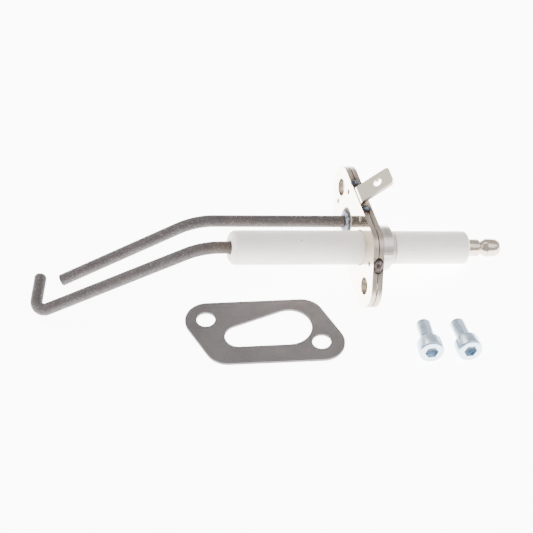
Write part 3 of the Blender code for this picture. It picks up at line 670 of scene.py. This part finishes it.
def soften(node, name, material, width):
    """The sheet with its cut edges rounded over."""
    shape = bmesh.new()
    shape.from_mesh(NODES[node].data)
    bmesh.ops.remove_doubles(shape, verts=shape.verts, dist=0.002 * MM)
    bmesh.ops.dissolve_limit(shape, angle_limit=radians(0.5), verts=shape.verts,
                             edges=shape.edges)
    piece = finish_piece(name, shape, material, frame["nodes"][node]["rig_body"], [node])
    bevel = piece.modifiers.new("rounded edges", "BEVEL")
    bevel.width = width
    bevel.segments = 3
    bevel.limit_method = "ANGLE"
    bevel.angle_limit = radians(40)
    bevel.harden_normals = True


def build_pips():
    """The punch's marks: small oval pips raised on the front plate's face."""
    shape = bmesh.new()
    for y, z, tall in PIPS:
        made = bmesh.ops.create_uvsphere(shape, u_segments=20, v_segments=12, radius=1.0)
        verts = made["verts"]
        bmesh.ops.scale(shape, vec=(PIP_PROUD, PIP_HALF_WIDTH, tall), verts=verts)
        bmesh.ops.translate(shape, vec=(0.02 * MM, y, z), verts=verts)
    bmesh.ops.transform(shape, matrix=ELECTRODE, verts=shape.verts)
    finish_piece("punch_pips", shape, PLATE, "electrode", (), 80)


# ---------------------------------------------------------------- screws


def build_screw(node, place, axis, turn):
    """A cap screw with a rolled thread, a rounded head and a hexagon socket."""
    shape = bmesh.new()
    root = SCREW_RADIUS - THREAD_DEPTH
    ridge = [(root, 0.0), (SCREW_RADIUS, 0.42), (SCREW_RADIUS, 0.56), (root, 1.0)]
    low = -SCREW_LENGTH - THREAD_PITCH
    verts = [shape.verts.new((r, 0, low + share * THREAD_PITCH)) for r, share in ridge]
    edges = [shape.edges.new(pair) for pair in zip(verts, verts[1:])]
    turns = int(SCREW_LENGTH / THREAD_PITCH) + 2
    bmesh.ops.spin(shape, geom=verts + edges, cent=(0, 0, 0), axis=(0, 0, 1),
                   dvec=(0, 0, THREAD_PITCH / 36), angle=2 * pi * turns, steps=36 * turns,
                   use_duplicate=False)
    bmesh.ops.remove_doubles(shape, verts=shape.verts, dist=0.005 * MM)
    for height, normal in ((-SCREW_LENGTH, (0, 0, -1)), (0.3 * MM, (0, 0, 1))):
        bmesh.ops.bisect_plane(shape, geom=shape.verts[:] + shape.edges[:] + shape.faces[:],
                               plane_co=(0, 0, height), plane_no=normal, clear_outer=True)
    bmesh.ops.holes_fill(shape, edges=[edge for edge in shape.edges if edge.is_boundary])
    top = SCREW_HEAD_HEIGHT
    head = SCREW_HEAD_RADIUS
    outline = [(head - inward, top - drop) for inward, drop in HEAD_ROUNDING]
    outline += [(head, HEAD_CHAMFER), (head - HEAD_CHAMFER, 0), (root, 0)]
    verts = [shape.verts.new((r, 0, z)) for r, z in outline]
    edges = [shape.edges.new(pair) for pair in zip(verts, verts[1:])]
    bmesh.ops.spin(shape, geom=verts + edges, cent=(0, 0, 0), axis=(0, 0, 1), angle=2 * pi,
                   steps=64, use_merge=True, use_duplicate=False)
    shape.verts.ensure_lookup_table()
    rim = [edge for edge in shape.edges if edge.is_boundary
           and all(abs(vert.co.z - top) < 0.001 * MM for vert in edge.verts)]
    socket = SOCKET_ACROSS_FLATS / 2 / cos(pi / 6)
    hexagon = bmesh.ops.create_circle(
        shape, segments=6, radius=socket,
        matrix=Matrix.Translation((0, 0, top)) @ Matrix.Rotation(radians(turn), 4, "Z"))
    mouth = list({edge for vert in hexagon["verts"] for edge in vert.link_edges})
    bmesh.ops.triangle_fill(shape, edges=rim + mouth, use_beauty=True)
    bottom = push_ring(shape, mouth, (0, 0, -SOCKET_DEPTH))
    floor = bmesh.ops.edgeloop_fill(shape, edges=bottom)["faces"]
    bmesh.ops.poke(shape, faces=floor, offset=-DRILL_POINT)
    way = Vector(axis).to_track_quat("Z", "Y").to_matrix().to_4x4()
    bmesh.ops.transform(shape, matrix=Matrix.Translation(place) @ way, verts=shape.verts)
    finish_piece(f"{node}_threaded", shape, ZINC, node, [node], 32)



def give(material, *nodes):
    """Gives CAD nodes, shown with their own shape, their finish."""
    for node in nodes:
        NODES[node].data.materials.clear()
        NODES[node].data.materials.append(material)


def build_kit():
    """Every piece of the electrode, the gasket and the screws."""
    give(ALUMINA, "insulator")
    give(CEMENT, "front_cement", "rear_cement")
    give(COLLAR, "collar")
    give(PIN, "core_pin")
    give(GRAPHITE, "packing_ring")
    build_rods()
    build_terminal()
    build_fillet_weld()
    build_edge_welds()
    soften("front_plate", "front_plate_punched", PLATE, FRONT_PLATE_ROUNDING)
    soften("rear_plate", "rear_plate_punched", PLATE, REAR_PLATE_ROUNDING)
    soften("gasket", "gasket_cut", GASKET, GASKET_ROUNDING)
    build_pips()
    for node, (place, axis, turn) in SCREWS.items():
        build_screw(node, place, axis, turn)


def build_floor():
    made, tree, shader = new_material("white paper sweep", Roughness=0.95)
    grain = add(tree, "ShaderNodeTexNoise", {
        "Vector": add(tree, "ShaderNodeTexCoord").outputs["Object"], "Scale": 40,
    })
    tone = add(tree, "ShaderNodeMix", {
        "Factor": grain.outputs[0], "A": linear("#fcfcfc"), "B": linear("#ffffff"),
    }, data_type="RGBA")
    tree.links.new(tone.outputs["Result"], shader.inputs["Base Color"])
    shader.inputs["Emission Color"].default_value = (1, 1, 1, 1)
    shader.inputs["Emission Strength"].default_value = 9.0
    shape = bmesh.new()
    bmesh.ops.create_grid(shape, x_segments=4, y_segments=4, size=1.5)
    mesh = bpy.data.meshes.new("floor")
    shape.to_mesh(mesh)
    shape.free()
    mesh.materials.append(made)
    floor = bpy.data.objects.new("floor", mesh)
    bpy.context.scene.collection.objects.link(floor)


def build_lights():
    """White surroundings, and two soft lamps above."""
    world = bpy.data.worlds.new("studio")
    bpy.context.scene.world = world
    world.use_nodes = True
    backdrop = world.node_tree.nodes["Background"]
    backdrop.inputs["Color"].default_value = (1, 1, 1, 1)
    backdrop.inputs["Strength"].default_value = 1.15
    for name, place, power, size in (
        ("key", (-0.35, 0.25, 0.6), 5.0, 0.5),
        ("fill", (0.5, -0.1, 0.55), 2.0, 0.5),
    ):
        lamp = bpy.data.lights.new(name, "AREA")
        lamp.energy = power
        lamp.size = size
        light = bpy.data.objects.new(name, lamp)
        bpy.context.scene.collection.objects.link(light)
        light.location = place
        light.rotation_euler = (-Vector(place)).to_track_quat("-Z", "Y").to_euler()


def build_camera():
    lens = bpy.data.cameras.new("camera")
    camera = bpy.data.objects.new("camera", lens)
    bpy.context.scene.collection.objects.link(camera)
    lens.sensor_width = 36
    lens.lens = CAMERA_LENS
    lens.clip_end = 10
    away = Vector((0, -cos(CAMERA_HEIGHT), sin(CAMERA_HEIGHT))) * CAMERA_AWAY
    camera.location = Vector(CAMERA_TARGET) + away
    camera.rotation_euler = (pi / 2 - CAMERA_HEIGHT, 0, 0)
    bpy.context.scene.camera = camera


build_kit()
build_floor()
build_lights()
build_camera()
